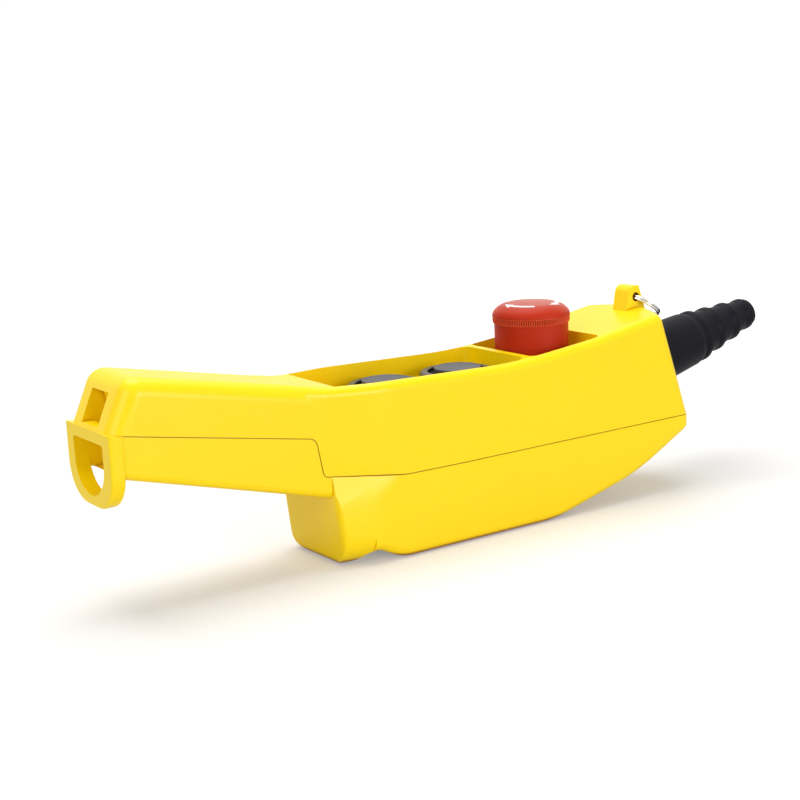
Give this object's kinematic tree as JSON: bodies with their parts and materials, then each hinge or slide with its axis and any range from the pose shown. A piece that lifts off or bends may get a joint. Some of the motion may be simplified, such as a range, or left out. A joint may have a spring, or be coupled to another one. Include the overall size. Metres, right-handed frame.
{
  "type": "hoist pendant control",
  "caption": "Angled hand-held hoist pendant: moulded two-part housing with guarded push buttons, a mushroom stop head, a ribbed cable sleeve, a strap eyelet and a key ring.",
  "frame": {"origin": "middle of the flat belly face the pendant lies on, on its plane of symmetry", "axes": "+X towards the cable end, +Y across the housing, +Z out of the button side"},
  "size_m": [0.3615, 0.0522, 0.0974],
  "materials": {
    "front_shell": "bright yellow moulded plastic, satin gloss",
    "rear_shell": "bright yellow moulded plastic, satin gloss",
    "seal": "soft black rubber cord",
    "screws": "zinc plated steel",
    "sleeve": "black moulded rubber, satin",
    "clamp": "black moulded plastic",
    "ring": "bright nickel plated spring wire",
    "terminals": "plated brass",
    "stop_red": "signal red moulded plastic, matt",
    "stems": "dark grey moulded plastic",
    "collars": "black moulded plastic",
    "nuts": "black moulded plastic",
    "springs": "spring steel wire",
    "blocks": "dark grey moulded plastic",
    "contacts": "rolled brass strip",
    "boots": "black rubber lip seal",
    "caps": "black moulded plastic, fine texture"
  },
  "bodies": {
    "housing": {"front_shell": "front_shell", "rear_shell": "rear_shell", "shell_seal": "seal", "housing_screws": "screws", "cable_sleeve": "sleeve", "cable_clamp": "clamp", "clamp_screws": "screws", "terminal_screws": "terminals", "stop_collar": "collars", "stop_nut": "nuts", "stop_spring": "springs", "stop_contact_block": "blocks", "stop_contact_strips": "contacts", "lower_collar": "collars", "lower_boot": "boots", "lower_nut": "nuts", "lower_spring": "springs", "lower_contact_block": "blocks", "lower_contact_strips": "contacts", "raise_collar": "collars", "raise_boot": "boots", "raise_nut": "nuts", "raise_spring": "springs", "raise_contact_block": "blocks", "raise_contact_strips": "contacts"},
    "lower_button": {"lower_cap": "caps", "lower_rod": "stems", "lower_contact_bridge": "contacts"},
    "raise_button": {"raise_cap": "caps", "raise_rod": "stems", "raise_contact_bridge": "contacts"},
    "stop_plunger": {"stop_stem": "stems", "stop_contact_bridge": "contacts"},
    "stop_mushroom": {"stop_head": "stop_red"},
    "split_ring": {"key_ring": "ring"}
  },
  "joints": [
    {"name": "lower_press", "type": "slide", "parent": "housing", "child": "lower_button", "axis": [0, 0, -1], "range_m": [0, 0.004], "stiffness_N_per_m": 600, "springref_m": -0.003, "deforming": ["lower_spring"]},
    {"name": "raise_press", "type": "slide", "parent": "housing", "child": "raise_button", "axis": [0, 0, -1], "range_m": [0, 0.004], "stiffness_N_per_m": 600, "springref_m": -0.003, "deforming": ["raise_spring"]},
    {"name": "stop_press", "type": "slide", "parent": "housing", "child": "stop_plunger", "axis": [0, 0, -1], "range_m": [0, 0.005], "stiffness_N_per_m": 1500, "springref_m": -0.004, "deforming": ["stop_spring"]},
    {"name": "stop_twist", "type": "hinge", "parent": "stop_plunger", "child": "stop_mushroom", "pos_m": [0.0534, 0, 0.084], "axis": [0, 0, 1], "range_deg": [-45, 0], "stiffness_Nm_per_rad": 0.06},
    {"name": "ring_swing", "type": "hinge", "parent": "housing", "child": "split_ring", "pos_m": [0.114, 0, 0.092], "axis": [0, 1, 0], "range_deg": [-205, 0]}
  ]
}
